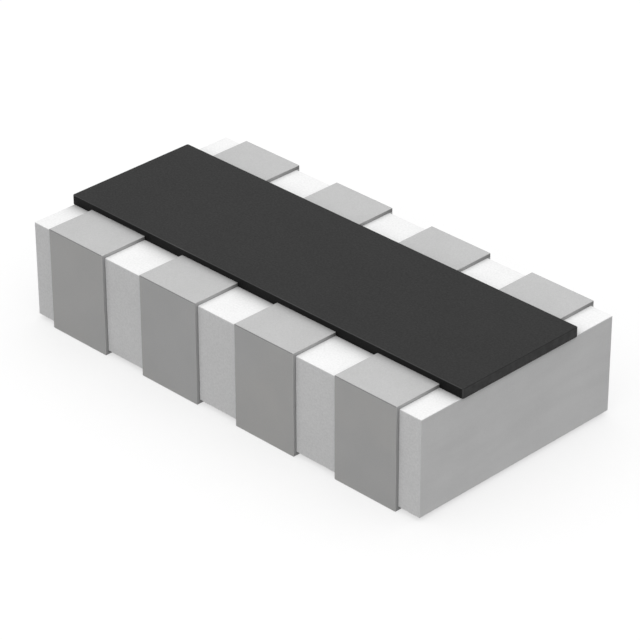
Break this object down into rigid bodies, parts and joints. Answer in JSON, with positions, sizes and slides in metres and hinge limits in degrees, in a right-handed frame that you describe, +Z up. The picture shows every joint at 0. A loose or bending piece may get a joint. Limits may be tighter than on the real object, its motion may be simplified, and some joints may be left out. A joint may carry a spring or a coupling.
{
  "type": "resistor network",
  "caption": "Surface-mount thick-film resistor network: a white alumina block with a black overcoat and tin-plated terminals wrapped round both long sides.",
  "frame": {"origin": "on the plane of the terminals' undersides, under the middle of the part", "axes": "+X along the row of resistors, from terminal 1 to terminal 4; +Y across the block, from terminals 1 to 4 towards terminals 5 to 8; +Z up through the overcoat"},
  "size_m": [0.0032, 0.0016, 0.0007],
  "materials": {
    "alumina": "matt fired alumina, fine grain",
    "tin": "matt electroplated tin",
    "nickel": "dull electroplated nickel",
    "silver": "fired silver print, matt",
    "resistive_film": "fired ruthenium oxide print, dull black",
    "cover_glass": "fired green glass print",
    "overcoat": "black printed epoxy, matt"
  },
  "bodies": {
    "root": {"substrate": "alumina", "top_electrode_1": "silver", "top_electrode_2": "silver", "top_electrode_3": "silver", "top_electrode_4": "silver", "top_electrode_5": "silver", "top_electrode_6": "silver", "top_electrode_7": "silver", "top_electrode_8": "silver", "bottom_electrode_1": "silver", "bottom_electrode_2": "silver", "bottom_electrode_3": "silver", "bottom_electrode_4": "silver", "bottom_electrode_5": "silver", "bottom_electrode_6": "silver", "bottom_electrode_7": "silver", "bottom_electrode_8": "silver", "side_electrode_1": "silver", "side_electrode_2": "silver", "side_electrode_3": "silver", "side_electrode_4": "silver", "side_electrode_5": "silver", "side_electrode_6": "silver", "side_electrode_7": "silver", "side_electrode_8": "silver", "nickel_barrier_1": "nickel", "nickel_barrier_2": "nickel", "nickel_barrier_3": "nickel", "nickel_barrier_4": "nickel", "nickel_barrier_5": "nickel", "nickel_barrier_6": "nickel", "nickel_barrier_7": "nickel", "nickel_barrier_8": "nickel", "tin_plating_1": "tin", "tin_plating_2": "tin", "tin_plating_3": "tin", "tin_plating_4": "tin", "tin_plating_5": "tin", "tin_plating_6": "tin", "tin_plating_7": "tin", "tin_plating_8": "tin", "resistor_film_1": "resistive_film", "resistor_film_2": "resistive_film", "resistor_film_3": "resistive_film", "resistor_film_4": "resistive_film", "glass_cover_1": "cover_glass", "glass_cover_2": "cover_glass", "glass_cover_3": "cover_glass", "glass_cover_4": "cover_glass", "overcoat": "overcoat"}
  },
  "joints": []
}
